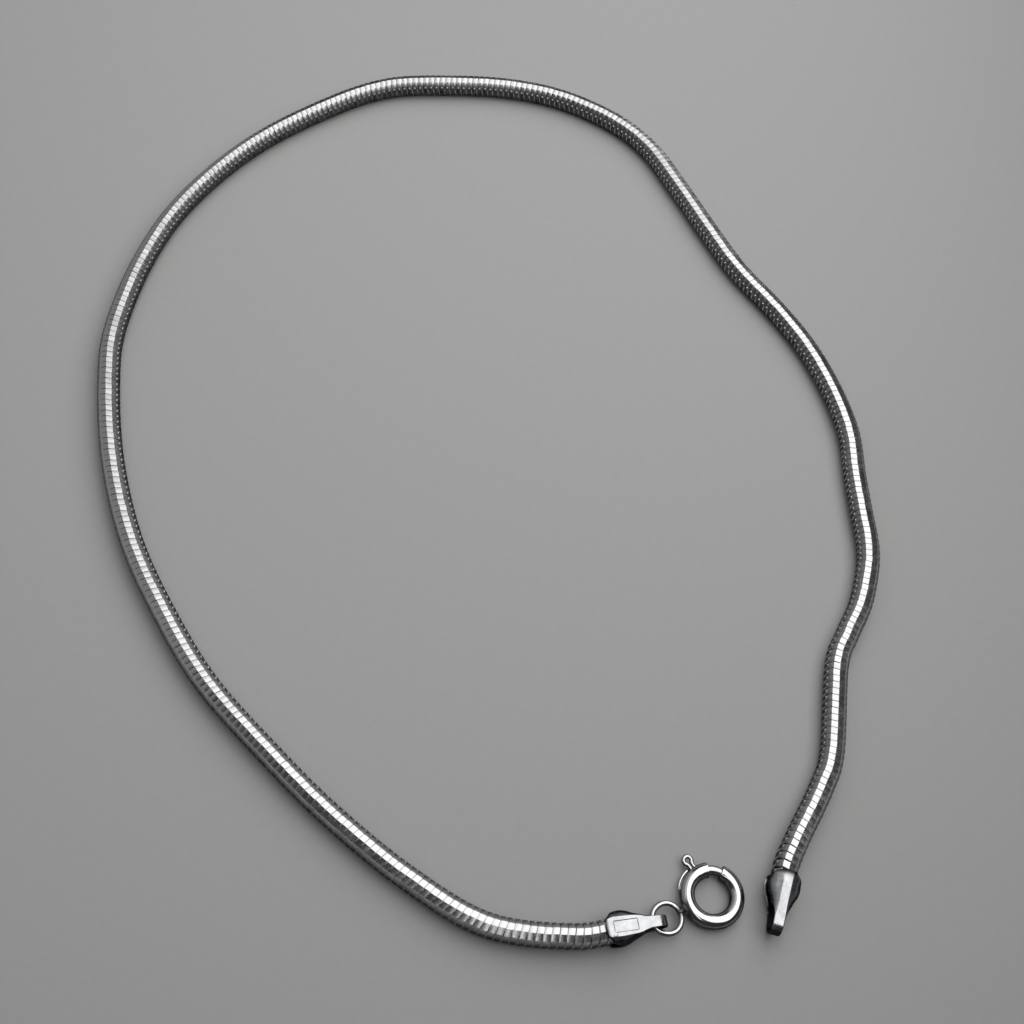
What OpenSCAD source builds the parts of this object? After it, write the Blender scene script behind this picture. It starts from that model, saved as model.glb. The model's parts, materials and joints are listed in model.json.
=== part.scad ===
// Round snake chain necklace with a spring ring clasp, lying open on a flat surface.
// Lengths are in millimetres. Z is up and the surface is at z = 0. The origin is on the
// surface, under the middle of the laid necklace, with the clasp on the -Y side.

/* [Chain] */
// Outside diameter of the chain
chain_d = 3.4; // [3.1:0.1:3.7]
// Length of chain held inside each end cap
chain_held = 2.3; // [1.8:0.1:2.4]

/* [End caps] */
// Thickness of the sheet that a cap is folded from
sheet_t = 0.32; // [0.26:0.01:0.38]
// Clearance between the chain and the inside of a cap
cap_gap = 0.06; // [0.04:0.01:0.12]
// How far a leaf reaches out past each side of the chain
leaf_reach = 0.45; // [0.45:0.05:0.7]
// Length of a dished leaf, from its round nose to the tongue
leaf_len = 5.7; // [5.4:0.1:6.6]
// Width of the flat on the back of the clasp cap's leaves
clasp_leaf_flat = 2.4; // [1.8:0.1:2.6]
// Width of the flat on the back of the free cap's rounder leaves
free_leaf_flat = 0.8; // [0.6:0.1:2.6]
// Gap between the rims of the two leaves
rim_gap = 1.4; // [1:0.1:1.6]
// Width of the tongue that joins the two leaves
tongue_w = 1.4; // [1.2:0.05:1.6]
// Length of the straight tongue between a leaf and the fold
tongue_len = 0.95; // [0.8:0.05:1.6]
// Height inside the fold, where the eye's wire passes
fold_gap = 2.2; // [1.9:0.05:2.5]
// Roll of the free end's cap about its own length, in degrees
free_cap_roll = 5; // [0:1:20]

/* [Spring ring case] */
// Diameter of the ring, measured at the middle of its tube
ring_d = 6.55; // [6:0.05:8]
// Outside diameter of the case tube
tube_d = 1.95; // [1.75:0.05:2.2]
// Wall of the case tube
tube_wall = 0.28; // [0.2:0.01:0.32]
// Angle round the ring at which the mouth begins, in degrees
mouth_start = 72; // [60:1:80]
// Angle that the mouth spans, in degrees
mouth_span = 32; // [28:1:34]

/* [Eye] */
// Diameter of the eye, measured at the middle of its wire
eye_d = 3.8; // [3.5:0.05:4.2]
// Diameter of the eye's wire
eye_wire_d = 0.7; // [0.5:0.05:0.8]
// Distance of the eye from the outside of the case, which the solder fills
eye_standoff = 0.25; // [0.1:0.05:0.4]
// Diameter of the soldered neck where it leaves the case
neck_d = 1.4; // [1.2:0.05:1.6]

/* [Trigger] */
// Clearance between the trigger and the bore of the case
trigger_gap = 0.075; // [0.05:0.005:0.1]
// Angle by which the closed trigger enters the far side of the case, in degrees
tip_entry = 6.5; // [4:0.5:9]
// Angle round the ring at which the closed trigger's knob stands, in degrees
knob_angle = 130.5; // [126:0.5:134]
// Angle by which the trigger slides open, in degrees
trigger_travel = 39; // [38:1:41]
// Diameter of the knob's eyelet, measured at the middle of its wire
knob_d = 1; // [0.9:0.05:1.2]
// Diameter of the knob's wire
knob_wire_d = 0.42; // [0.36:0.02:0.46]
// Distance of the knob's eyelet from the outside of the case
knob_standoff = 0.36; // [0.25:0.05:0.6]

/* [Hidden] */
$fn = 48;
silver = [0.78, 0.78, 0.77];
bright_silver = [0.88, 0.88, 0.87];

// The chain's route, from its end in the clasp's cap round to its end in the free cap.
// Each row holds x, y and the share of the cap's rise above the surface.
route = [
    [27, -68.7, 1], [21, -70.5, 1], [10, -70.5, 0.3], [-1, -66, 0], [-12, -59.5, 0],
    [-21, -53, 0], [-31.5, -44.5, 0], [-39.5, -35.5, 0], [-47, -25, 0], [-53, -12.5, 0],
    [-57, 0.5, 0], [-58.5, 10, 0], [-57.5, 23.5, 0], [-54, 36, 0], [-46.5, 49, 0],
    [-36.5, 59.5, 0], [-26, 67, 0], [-14, 70, 0], [-4, 71, 0], [5, 70, 0],
    [14, 66.5, 0], [20.5, 61.5, 0], [26, 54, 0], [32, 45, 0], [37, 38, 0],
    [44, 30.5, 0], [49, 24, 0], [53, 16.5, 0], [55.5, 9.5, 0], [56.5, 2, 0],
    [57.5, -4, 0], [58.5, -11, 0], [57.5, -18.5, 0], [55.5, -24, 0], [54, -29, 0],
    [53.5, -41.5, 0], [52, -47, 0.4], [49, -54, 0.9], [47.5, -58, 1], [47, -61.2, 1]
];
route_steps = 2;
chain_sides = 8;
// Directions in which the eye lies from the fold, and the ring from the eye
eye_turn = 30;
clasp_turn = 33;
// Play between the eye's wire and the inside of the fold
eye_play = 0.95;
// Height of the eye's wire above the lower tongue
eye_rest = 0.08;

// Sections of a leaf, from its nose to the tongue. The columns are the place along the
// leaf, the shares of its full width, flat and crown height, and the depth of its dish.
leaf_rows = [
    [0, 0.07, 0, 1, 0.1],
    [0.054, 0.43, 0.35, 1, 0.35],
    [0.143, 0.83, 0.8, 1, 0.62],
    [0.24, 0.95, 1, 1, 0.9],
    [0.35, 1, 1, 1, 1],
    [0.5, 0.88, 0.93, 0.94, 1],
    [0.64, 0.62, 0.85, 0.76, 0.95],
    [0.77, 0.42, 0.68, 0.54, 0.8],
    [0.88, 0.22, 0.38, 0.34, 0.45],
    [1, 0.05, 0.05, 0.14, 0.1]
];
// Softened edge of the tongue, and the share of its width that stays flat
tongue_edge = 0.06;
tongue_flat = 0.85;
side_steps = 5;
fold_steps = 9;
// Clearance of the knob's legs in their slot
slot_clear = 0.09;
// Share of the eyelet's radius at which each leg meets it
leg_share = 0.56;
// Angle of the trigger's wire that stays in the case behind the knob
trigger_tail = 14;

chain_r = chain_d / 2;
leaf_w = chain_d + 2 * leaf_reach;
crown = chain_r / cos(180 / chain_sides) + cap_gap + sheet_t;
fold_r = fold_gap / 2 + sheet_t;
cap_len = leaf_len + tongue_len + fold_r;

// Height of a cap's middle above the surface that its rolled back rests on
function cap_rise(roll, leaf_flat) =
    let (depth = crown - rim_gap / 2)
    let (side = (leaf_w - leaf_flat) / 2)
    max(leaf_flat, tongue_w * tongue_flat) / 2 * sin(roll) + (crown - depth) * cos(roll)
    + sqrt(pow(side * sin(roll), 2) + pow(depth * cos(roll), 2));

clasp_cap_z = cap_rise(0, clasp_leaf_flat);
free_cap_z = cap_rise(free_cap_roll, free_leaf_flat);

// Smooth curve through the route's points
function curve(a, b, c, d, t) =
    b + (c - a) * t / 2 + (2 * a - 5 * b + 4 * c - d) * t * t / 2
    + (3 * b - a - 3 * c + d) * t * t * t / 2;
function unit(v) = v / norm(v);
last = len(route) - 1;
padded = concat([2 * route[0] - route[1]], route, [2 * route[last] - route[last - 1]]);
samples = concat(
    [for (i = [1:last], k = [0:route_steps - 1])
        curve(padded[i - 1], padded[i], padded[i + 1], padded[i + 2], k / route_steps)],
    [route[last]]
);
function chain_z(i) =
    let (cap_z = i < len(samples) / 2 ? clasp_cap_z : free_cap_z)
    chain_r + (cap_z - chain_r) * min(1, max(0, samples[i].z));
centres = [for (i = [0:len(samples) - 1]) [samples[i].x, samples[i].y, chain_z(i)]];
ends = len(centres) - 1;

// One eight-sided section of the chain, square to its run, with a flat underneath
function chain_section(i) =
    let (along = unit(centres[min(ends, i + 1)] - centres[max(0, i - 1)]))
    let (side = unit([along.y, -along.x, 0]))
    let (up = cross(side, along))
    [for (k = [0:chain_sides - 1])
        let (a = (k + 0.5) * 360 / chain_sides)
        centres[i] + chain_r / cos(180 / chain_sides) * (side * cos(a) + up * sin(a))];

// Faces of a skin over rings of n points each, closed at both ends
function skin_faces(rings, n) = [
    for (i = [0:rings - 2], k = [0:n - 1])
        for (f = [[i * n + k, (i + 1) * n + (k + 1) % n, (i + 1) * n + k],
                  [i * n + k, i * n + (k + 1) % n, (i + 1) * n + (k + 1) % n]]) f
];

module snake_chain() {
    first = [for (k = [0:chain_sides - 1]) k];
    color(silver)
    polyhedron(
        points = [for (i = [0:ends]) each chain_section(i)],
        faces = concat(skin_faces(ends + 1, chain_sides),
            [[for (k = first) chain_sides - 1 - k], [for (k = first) ends * chain_sides + k]])
    );
}

// A section of the folded sheet: its place and outward direction in the cap's upright
// plane, its width, its flat and the depth of its dish
function leaf_section(row, leaf_flat) =
    let (height = fold_r + (crown - fold_r) * row[3])
    let (flat = tongue_w * tongue_flat)
    [row[0] * leaf_len, height, 0, 1,
        tongue_w + (leaf_w - tongue_w) * row[1],
        flat + (leaf_flat - flat) * row[2],
        (height - rim_gap / 2) * row[4]];
function mirrored(s) = [s[0], -s[1], s[2], -s[3], s[4], s[5], s[6]];

fold_sections = [
    for (k = [0:fold_steps])
        let (a = 90 - 180 * k / fold_steps)
        [leaf_len + tongue_len + fold_r * cos(a), fold_r * sin(a), cos(a), sin(a),
            tongue_w, tongue_w * tongue_flat, tongue_edge]
];
function cap_sections(leaf_flat) =
    let (leaf = [for (row = leaf_rows) leaf_section(row, leaf_flat)])
    concat(leaf, fold_sections, [for (i = [len(leaf) - 1:-1:0]) mirrored(leaf[i])]);

// One face of the sheet across a section: a flat with a quarter of an ellipse each side
function sheet_face(flat, side, top, drop) = concat(
    [for (k = [side_steps:-1:0])
        [-flat / 2 - side * sin(90 * k / side_steps),
            top + drop * (1 - cos(90 * k / side_steps))]],
    [[0, top]],
    [for (k = [0:side_steps])
        [flat / 2 + side * sin(90 * k / side_steps),
            top + drop * (1 - cos(90 * k / side_steps))]]
);
function cap_outline(s) =
    let (bend = min(1, s[6] / (2 * sheet_t)))
    let (inner_flat = s[5] - sheet_t * bend / 2)
    let (inner_side = s[4] / 2 - sheet_t * bend - inner_flat / 2)
    let (inner = sheet_face(inner_flat, inner_side, sheet_t, bend * max(0, s[6] - sheet_t)))
    let (outer = sheet_face(s[5], (s[4] - s[5]) / 2, 0, s[6]))
    concat(outer, [for (k = [len(inner) - 1:-1:0]) inner[k]]);
function cap_ring(s) = [
    for (p = cap_outline(s)) [s[0] - s[2] * p[1], p[0], s[1] - s[3] * p[1]]
];

// The folded cap, with its nose at the origin and its fold towards +X
module folded_cap(leaf_flat) {
    rings = [for (s = cap_sections(leaf_flat)) cap_ring(s)];
    n = len(rings[0]);
    strip = [for (k = [0:n / 2 - 2]) [k, k + 1, n - 2 - k, n - 1 - k]];
    shift = (len(rings) - 1) * n;
    polyhedron(
        points = [for (r = rings) each r],
        faces = concat(skin_faces(len(rings), n),
            [for (f = strip) [for (k = [3:-1:0]) f[k]]],
            [for (f = strip) [for (v = f) v + shift]])
    );
}

// Puts a cap over the end of the chain, which runs from the route's point q to its end p
module at_chain_end(p, q, z, roll) {
    away = unit([p.x - q.x, p.y - q.y]);
    translate([p.x - away.x * chain_held, p.y - away.y * chain_held, z])
        rotate([0, 0, atan2(away.y, away.x)])
            rotate([-roll, 0, 0])
                children();
}

module clasp_end_cap() {
    color(bright_silver)
    at_chain_end(route[0], route[1], clasp_cap_z, 0)
        folded_cap(clasp_leaf_flat);
}

module free_end_cap() {
    color(bright_silver)
    at_chain_end(route[last], route[last - 1], free_cap_z, free_cap_roll)
        folded_cap(free_leaf_flat);
}

ring_r = ring_d / 2;
tube_r = tube_d / 2;
bore_r = tube_r - tube_wall;
eye_r = eye_d / 2;
eye_reach = ring_r + tube_r + eye_standoff + eye_wire_d / 2 + eye_r;

// Point of the eye's wire that the fold holds, seen from the ring's middle
held_point = -eye_reach * [cos(clasp_turn), sin(clasp_turn), 0]
    - eye_r * [cos(eye_turn), sin(eye_turn), 0];
held_reach = eye_reach + eye_r * cos(clasp_turn - eye_turn);
held_z = clasp_cap_z - fold_gap / 2 + eye_wire_d / 2 + eye_rest;
// The far side of the ring rests on the surface, so the clasp leans up to the fold
clasp_lean = asin((held_z - tube_r) / (ring_r + held_reach));

// The clasp's own frame: the ring's middle, with Z square to the ring
module at_clasp() {
    p = route[0];
    q = route[1];
    away = unit([p.x - q.x, p.y - q.y]);
    run = cap_len - sheet_t - eye_wire_d / 2 - eye_play - chain_held;
    translate([p.x + away.x * run, p.y + away.y * run, held_z])
        rotate(a = clasp_lean, v = [-sin(clasp_turn), cos(clasp_turn), 0])
            translate(-held_point)
                children();
}

// A piece of round bar bent about the ring's middle, from one angle over a span
module bent_bar(r, bend_r, from, span) {
    rotate([0, 0, from])
        rotate_extrude(angle = span)
            translate([bend_r, 0])
                circle(r);
}

mouth_end = mouth_start + mouth_span;
knob_r = knob_d / 2;
knob_wire_r = knob_wire_d / 2;
knob_reach = ring_r + tube_r + knob_standoff + knob_wire_r + knob_r;
leg_side = knob_r * leg_share;
leg_angle = asin((leg_side + knob_wire_r + slot_clear) / (ring_r + tube_r));

module spring_ring() {
    color(bright_silver)
    at_clasp()
        difference() {
            union() {
                bent_bar(tube_r, ring_r, mouth_end, 360 - mouth_span);
                rotate([0, 0, clasp_turn + 180])
                    translate([eye_reach, 0, 0])
                        bent_bar(eye_wire_d / 2, eye_r, 0, 360);
                solder_neck();
            }
            bent_bar(bore_r, ring_r, 0, 360);
            knob_slot();
        }
}

// Solder that joins the eye to the case
module solder_neck() {
    start = ring_r + bore_r;
    rotate([0, 0, clasp_turn + 180])
        translate([start, 0, 0])
            rotate([0, 90, 0])
                cylinder(h = tube_wall + eye_standoff + eye_wire_d, d1 = neck_d, d2 = eye_wire_d);
}

// Slot in the outside of the case that the knob's legs slide along
module knob_slot() {
    rotate([0, 0, knob_angle - leg_angle])
        rotate_extrude(angle = trigger_travel + 2 * leg_angle)
            translate([ring_r, -knob_wire_r - slot_clear])
                square([tube_d, knob_wire_d + 2 * slot_clear]);
}

module trigger() {
    wire_r = bore_r - trigger_gap;
    tip = mouth_start - tip_entry;
    color(silver)
    at_clasp() {
        bent_bar(wire_r, ring_r, tip, knob_angle + trigger_tail - tip);
        rotate([0, 0, knob_angle]) {
            translate([knob_reach, 0, 0])
                bent_bar(knob_wire_r, knob_r, 0, 360);
            for (side = [-1, 1])
                translate([ring_r, side * leg_side, 0])
                    rotate([0, 90, 0])
                        cylinder(h = knob_reach - ring_r - leg_side, r = knob_wire_r);
        }
    }
}

snake_chain();
clasp_end_cap();
free_end_cap();
spring_ring();
trigger();
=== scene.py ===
# Looks of a round snake chain necklace with a spring ring clasp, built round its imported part.
# Lengths are in metres and angles in degrees. Z is up and the surface is at z = 0.
import json
from math import asin, atan2, cos, degrees, hypot, pi, radians, sin

import bmesh
import bpy
from mathutils import Matrix, Vector


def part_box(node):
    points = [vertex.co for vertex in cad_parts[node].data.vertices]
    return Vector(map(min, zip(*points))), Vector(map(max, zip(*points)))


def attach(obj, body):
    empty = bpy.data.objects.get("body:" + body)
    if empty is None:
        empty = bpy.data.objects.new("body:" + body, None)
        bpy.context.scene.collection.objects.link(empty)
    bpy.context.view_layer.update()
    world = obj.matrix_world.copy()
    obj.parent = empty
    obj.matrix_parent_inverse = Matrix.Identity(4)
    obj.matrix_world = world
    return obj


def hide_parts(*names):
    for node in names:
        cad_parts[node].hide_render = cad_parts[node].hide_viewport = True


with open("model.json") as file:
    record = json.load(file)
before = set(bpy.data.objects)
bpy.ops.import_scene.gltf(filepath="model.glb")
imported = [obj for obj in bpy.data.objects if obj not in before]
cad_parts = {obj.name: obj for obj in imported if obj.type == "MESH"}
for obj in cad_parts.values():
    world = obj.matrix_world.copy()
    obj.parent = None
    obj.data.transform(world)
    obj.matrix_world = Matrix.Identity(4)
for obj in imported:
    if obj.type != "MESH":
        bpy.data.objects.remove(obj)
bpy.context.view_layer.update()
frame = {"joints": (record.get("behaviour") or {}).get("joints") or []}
scene = bpy.context.scene
# The trigger's sliding joint, whose axis stands in the middle of the ring
JOINT = frame["joints"][0]

# Camera, at the place and angle of the photograph, with its focal length as a share of the
# sensor's width
CAMERA_PLACE = (0.0059, -0.1014, 0.1720)
CAMERA_TILT = 27.69
CAMERA_ROLL = 8.03
SENSOR_MM = 36
FOCAL_SHARE = 1.2846

# Softbox, long from front to back and leaning to the left, by three of its long lines from
# high to low, with the front ends of its two panels
SOFTBOX_LINES = [
    Vector((-0.051, 0, 0.352)), Vector((0.01, 0, 0.27526)), Vector((0.139, 0, 0.113)),
]
SOFTBOX_FRONTS = [-0.28, -0.11]
SOFTBOX_BACK = 0.49
SOFTBOX_RADIANCE = 1.3
# Dimmer panel to the left of the softbox, where its light fades
FADE_EDGE = Vector((-0.3, 0, 0.36))
FADE_FRONT = -0.06
FADE_RADIANCE = 0.36
# Weak fill, upright at the left
FILL_PLACE = Vector((-0.6, 0.45, 0.48))
FILL_WIDTH = 1.34
FILL_HEIGHT = 0.96
FILL_RADIANCE = 0.17
FILL_COLOUR = (0.93, 0.97, 1.0)
ROOM_RADIANCE = 0.024

# Floor, with a fine grain: grains in a metre, and how far their tones stray
FLOOR_HALF = 2.0
FLOOR_TONE = (0.61, 0.615, 0.605)
FLOOR_GRAIN = 900.0
FLOOR_GRAIN_CONTRAST = 0.03
FLOOR_ROUGHNESS = 0.9
FLOOR_GLOSS = 0.15

# Silver: the tone of its painted shade and its thin dark film, the tone of its glancing
# reflections, and the tone that some plates are dulled towards, with how far
SHADE_AND_TARNISH_TONE = (0.05, 0.045, 0.05, 1)
GRAZING_TINT = (0.4, 0.4, 0.42, 1)
DULL_TONE = (0.45, 0.44, 0.42, 1)
PLATE_DULLING = 0.12
SHADE_AND_TARNISH_ROUGHNESS = 0.3
SCRATCH_ROUGHNESS = 0.35
SCRATCH_DEPTH = 0.000002
# Scratches in three directions: the turn of each, and how slowly it changes along its length,
# with the turn's shares about X, Y and Z
SCRATCH_RUNS = ((0.5, 0.03), (1.9, 0.045), (2.7, 0.06))
SCRATCH_TURN_SHARES = (0.7, 0.4, 1.0)
SCRATCH_SHARPNESS = 16.0
# Patches where scratches gather: their scale beside the smudges', their contrast and level
SCRATCH_PATCHES = (1.7, 3.0, -1.2)

# Chain: the route's points, from the clasp's cap round to the free cap, as x, y and the
# share of the cap's rise
ROUTE = [
    (0.027, -0.0687, 1), (0.021, -0.0705, 1), (0.01, -0.0705, 0.3), (-0.001, -0.066, 0),
    (-0.012, -0.0595, 0), (-0.021, -0.053, 0), (-0.0315, -0.0445, 0), (-0.0395, -0.0355, 0),
    (-0.047, -0.025, 0), (-0.053, -0.0125, 0), (-0.057, 0.0005, 0), (-0.0585, 0.01, 0),
    (-0.0575, 0.0235, 0), (-0.054, 0.036, 0), (-0.0465, 0.049, 0), (-0.0365, 0.0595, 0),
    (-0.026, 0.067, 0), (-0.014, 0.07, 0), (-0.004, 0.071, 0), (0.005, 0.07, 0),
    (0.014, 0.0665, 0), (0.0205, 0.0615, 0), (0.026, 0.054, 0), (0.032, 0.045, 0),
    (0.037, 0.038, 0), (0.044, 0.0305, 0), (0.049, 0.024, 0), (0.053, 0.0165, 0),
    (0.0555, 0.0095, 0), (0.0565, 0.002, 0), (0.0575, -0.004, 0), (0.0585, -0.011, 0),
    (0.0575, -0.0185, 0), (0.0555, -0.024, 0), (0.054, -0.029, 0), (0.0535, -0.0415, 0),
    (0.052, -0.047, 0.4), (0.049, -0.054, 0.9), (0.0475, -0.058, 1), (0.047, -0.0612, 1),
]
ROUTE_STEPS = 12
CHAIN_RADIUS = 0.0017
# Length of chain held in each cap
CHAIN_HELD = 0.0023
# Length of the route at each end that the last plate keeps clear of
ROUTE_TRIM = 0.0006

# One plate: a bent ring of sheet with narrow softened edges, and a tail under the next plate
PLATE_RADIUS = 0.00168
PLATE_PITCH = 0.000952
PLATE_GAP = 0.00002
PLATE_EDGE = 0.00004
PLATE_EDGE_DEPTH = 0.00004
PLATE_CROWN = 0.000034
PLATE_TAIL = 0.0002
PLATE_TAIL_DEPTH = 0.00025
# Angles round the plate from its inner seam to its outer seam
PLATE_ANGLES = (0, 14, 36, 66, 98, 130, 165, 180)
# Direction of the inner seam, above the horizontal, on the inside of the loop
SEAM_RISE = 28
# How much a plate sinks and narrows at its seams, and the angle over which that fades
SEAM_DIP = 0.00011
SEAM_NARROWING = 0.00017
SEAM_FADE = PLATE_ANGLES[2]
PLATE_CRISP = 30
# How far a plate's ring leans along the chain between its two seams
PLATE_LEAN = 0.00035
# Small tips at the seams
BEAD_HALF_LENGTH = 0.00032
BEAD_HALF_WIDTH = 0.00022
BEAD_HEIGHT = 0.00006
BEAD_DEPTH = 0.00018
BEAD_SLANT = 25
BEAD_SIDES = 6
# Bands of a plate's section in their order, which the beads' faces follow
EDGE_BAND, FRONT_BAND, BACK_BAND, TAIL_BAND, INSIDE_BAND = range(5)
# Painted shade on a plate's sides: heights above the horizontal where it begins and is darkest
DARK_INNER_SIDE = (40, 24)
DARK_OUTER_SIDE = (52, 38)
DARK_LOW_EDGE = (32, 8)
# Shares of painted shade on the sides, in the inner seam's crease and on the beads
DARK_SIDE = 0.9
DARK_SEAM = 0.8
DARK_BEAD = 0.4
# Extra length that the last plates at each end are pulled apart by
END_STRETCH = 0.0006
END_STRETCH_PLATES = 3.0
# Largest random turn of a plate, and its shares about the plate's X, Y and Z
PLATE_TURN = 1.0
PLATE_TURN_SHARES = (0.5, 0.5, 1.0)
PLATE_SEED = 11

# End caps: sections of a leaf from its nose to the tongue. The columns are the place along
# the leaf, the shares of its full width, flat and crown height, and the depth of its dish.
LEAF_ROWS = [
    (0, 0.07, 0.25, 1, 0.1),
    (0.054, 0.43, 0.82, 1, 0.35),
    (0.143, 0.83, 0.97, 1, 0.62),
    (0.24, 0.95, 1, 1, 0.9),
    (0.35, 1, 1, 0.88, 1),
    (0.5, 0.88, 0.93, 0.72, 1),
    (0.64, 0.62, 0.85, 0.57, 0.95),
    (0.77, 0.42, 0.68, 0.43, 0.8),
    (0.88, 0.22, 0.38, 0.31, 0.45),
    (1, 0.05, 0.05, 0.18, 0.1),
]
SHEET = 0.00032
# Height of the crown over the middle of the chain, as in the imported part
CROWN = 0.00222007
LEAF_LENGTH = 0.0057
LEAF_WIDTH = 0.0043
CLASP_LEAF_FLAT = 0.0024
FREE_LEAF_FLAT = 0.001
RIM_GAP = 0.0014
TONGUE_WIDTH = 0.0014
TONGUE_LENGTH = 0.00095
TONGUE_FLAT = 0.85
TONGUE_EDGE = 0.00006
# Height inside the fold, where the eye's wire passes
FOLD_GAP = 0.0022
FOLD_RADIUS = FOLD_GAP / 2 + SHEET
FREE_CAP_ROLL = 5
LEAF_STEPS = 40
# How much closer together the steps along a leaf are at its nose
LEAF_CLOSENESS = 1.25
FOLD_STEPS = 20
SIDE_STEPS = 12
CAP_CRISP = 40
RIM_ROUND = 0.00012
# How straight a leaf's sides fall from the crease beside its flat
SIDE_STRAIGHTNESS = 0.45
# Blank sunk panel on the back of the clasp's cap
PANEL_START = 0.0009
PANEL_END = 0.0041
PANEL_HALF_WIDTH = 0.00074
PANEL_DEPTH = 0.00008
PANEL_WALL = 0.00009
# Columns of points at the panel's two sides, and the most of the half flat that each may take
PANEL_COLUMNS = ((PANEL_HALF_WIDTH - PANEL_WALL, 0.94), (PANEL_HALF_WIDTH, 0.98))

# Painted shade on faces that turn sideways and down: its share, and the normals' rise
# where it starts and is full
CAP_SIDE_SHADE = (0.78, 0.86, 0.6)
CLASP_SIDE_SHADE = (0.88, 0.78, 0.5)
# Painted shade on the caps: its share at the nose and how far it reaches, and its shares
# on the lower leaf and inside
CLASP_NOSE_SHADE = (0.7, 0.0004)
FREE_NOSE_SHADE = (0.9, 0.0011)
LOWER_LEAF_SHADE = 0.9
INNER_FACE_SHADE = 0.95

# Spring ring clasp, in its own frame: its middle at the origin and Z square to the ring
RING_RADIUS = 0.003275
TUBE_RADIUS = 0.000975
TUBE_WALL = 0.00028
CASE_STEP = 3.2
CASE_SIDES = 36
CASE_EDGE_ROUND = 0.00004
CASE_CRISP = 40
# Depth in the case's wall, as a share, where painted shade starts, and over which it grows
CASE_SHADE = (0.75, 0.2)
# Angles round the ring between which the mouth is open
MOUTH_START = 72
MOUTH_END = 104
# Slot, which runs past the knob at both ends of its travel
KNOB_ANGLE = 130.5
SLOT_PLAY = 7.8
SLOT_START = KNOB_ANGLE - SLOT_PLAY
SLOT_END = KNOB_ANGLE + JOINT["range_deg"][1] + SLOT_PLAY
SLOT_HALF_HEIGHT = 0.0003
# Lip that stands out under the slot
LIP_REACH = 0.00436
LIP_HALF_WIDTH = 0.0002
LIP_HALF_HEIGHT = 0.00009
LIP_HEIGHT = -0.00034
LIP_THINNEST = 0.05
LIP_TAPER = 0.35
LIP_STEPS = 24
LIP_SIDES = 12
# Eye, which the solder holds off the case
EYE_ANGLE = 213
EYE_RADIUS = 0.0019
EYE_WIRE = 0.00035
EYE_STANDOFF = 0.00025
EYE_REACH = RING_RADIUS + TUBE_RADIUS + EYE_STANDOFF + EYE_WIRE + EYE_RADIUS
EYE_STEP = 5
EYE_SIDES = 16
# Solder between the case and the eye, as places and radii along its middle
SOLDER_PROFILE = [
    (0.00402, 0.0006), (0.00409, 0.00077), (0.00419, 0.00074), (0.00431, 0.00062),
    (0.00445, 0.00053), (0.00462, 0.00048), (0.00482, 0.00045), (0.005, 0.0004),
    (0.00513, 0.0003), (0.00519, 0.00014),
]
SOLDER_SIDES = 20
# Painted shade round the solder: its middle, its level there and how far it reaches for each 1 lost
SOLDER_MIDDLE = RING_RADIUS + TUBE_RADIUS * 1.05
SOLDER_SHADE = (1.6, 0.0008)
# Trigger: a bar in the case, which enters its far side and ends behind the knob, and the knob
# of finer wire on two legs
TRIGGER_WIRE = 0.00062
TIP_ENTRY = 6.5
TRIGGER_TAIL = 14
TRIGGER_STEPS = 30
TRIGGER_SIDES = 20
KNOB_REACH = 0.00532
KNOB_RADIUS = 0.00053
KNOB_WIRE = 0.00028
KNOB_SIDES = 12
KNOB_STEPS = 22
# Angle left between each leg and the loop, how far below the loop's middle the legs end, in
# its radii, and how much they close in there
KNOB_GAP = 14
KNOB_NECK = 1.1
LEG_PINCH = 0.95
LEG_SIDE = 0.00028
LEG_START = 0.0034

# Mesh finish: edges sharper than this angle stay crisp, and bevels round those past theirs
CRISP_ANGLE = 35
BEVEL_ANGLE = 50
BEVEL_SEGMENTS = 3
# Angles at which a wire's rounded end has its rings
WIRE_END_ANGLES = (8, 30, 60)


# Small helpers for meshes
def new_piece(name, mesh):
    """An object at the origin that shows the mesh."""
    piece = bpy.data.objects.new(name, mesh)
    scene.collection.objects.link(piece)
    return piece


def ease(value, low, high):
    """Share from 0 at low to 1 at high, with soft ends."""
    share = min(1.0, max(0.0, (value - low) / (high - low)))
    return share * share * (3 - 2 * share)


def mesh_from(name, points, faces, crisp_angle=CRISP_ANGLE):
    """A smooth-shaded mesh, with edges sharper than the angle left crisp."""
    mesh = bpy.data.meshes.new(name)
    mesh.from_pydata([tuple(p) for p in points], [], faces)
    mesh.validate()
    mesh.shade_smooth()
    mesh.set_sharp_from_angle(angle=radians(crisp_angle))
    return mesh


def skin(rings, closed=False):
    """Points and faces of a tube over rings of points, closed on itself or by its end faces."""
    sides = len(rings[0])
    count = len(rings)
    points = [p for ring in rings for p in ring]
    faces = []
    for i in range(count if closed else count - 1):
        a = i * sides
        b = (i + 1) % count * sides
        for k in range(sides):
            m = (k + 1) % sides
            faces.append((a + k, b + k, b + m, a + m))
    if not closed:
        faces.append(tuple(range(sides)))
        faces.append(tuple(reversed(range((count - 1) * sides, count * sides))))
    return points, faces


def turn_outwards(mesh):
    """Makes every closed shell of the mesh face outwards."""
    shells = bmesh.new()
    shells.from_mesh(mesh)
    bmesh.ops.recalc_face_normals(shells, faces=shells.faces)
    shells.to_mesh(mesh)
    shells.free()


def apply_modifiers(piece):
    """Replaces the piece's mesh by what its modifiers make of it."""
    depsgraph = bpy.context.evaluated_depsgraph_get()
    mesh = bpy.data.meshes.new_from_object(
        piece.evaluated_get(depsgraph), preserve_all_data_layers=True, depsgraph=depsgraph
    )
    piece.modifiers.clear()
    piece.data = mesh
    return mesh


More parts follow.
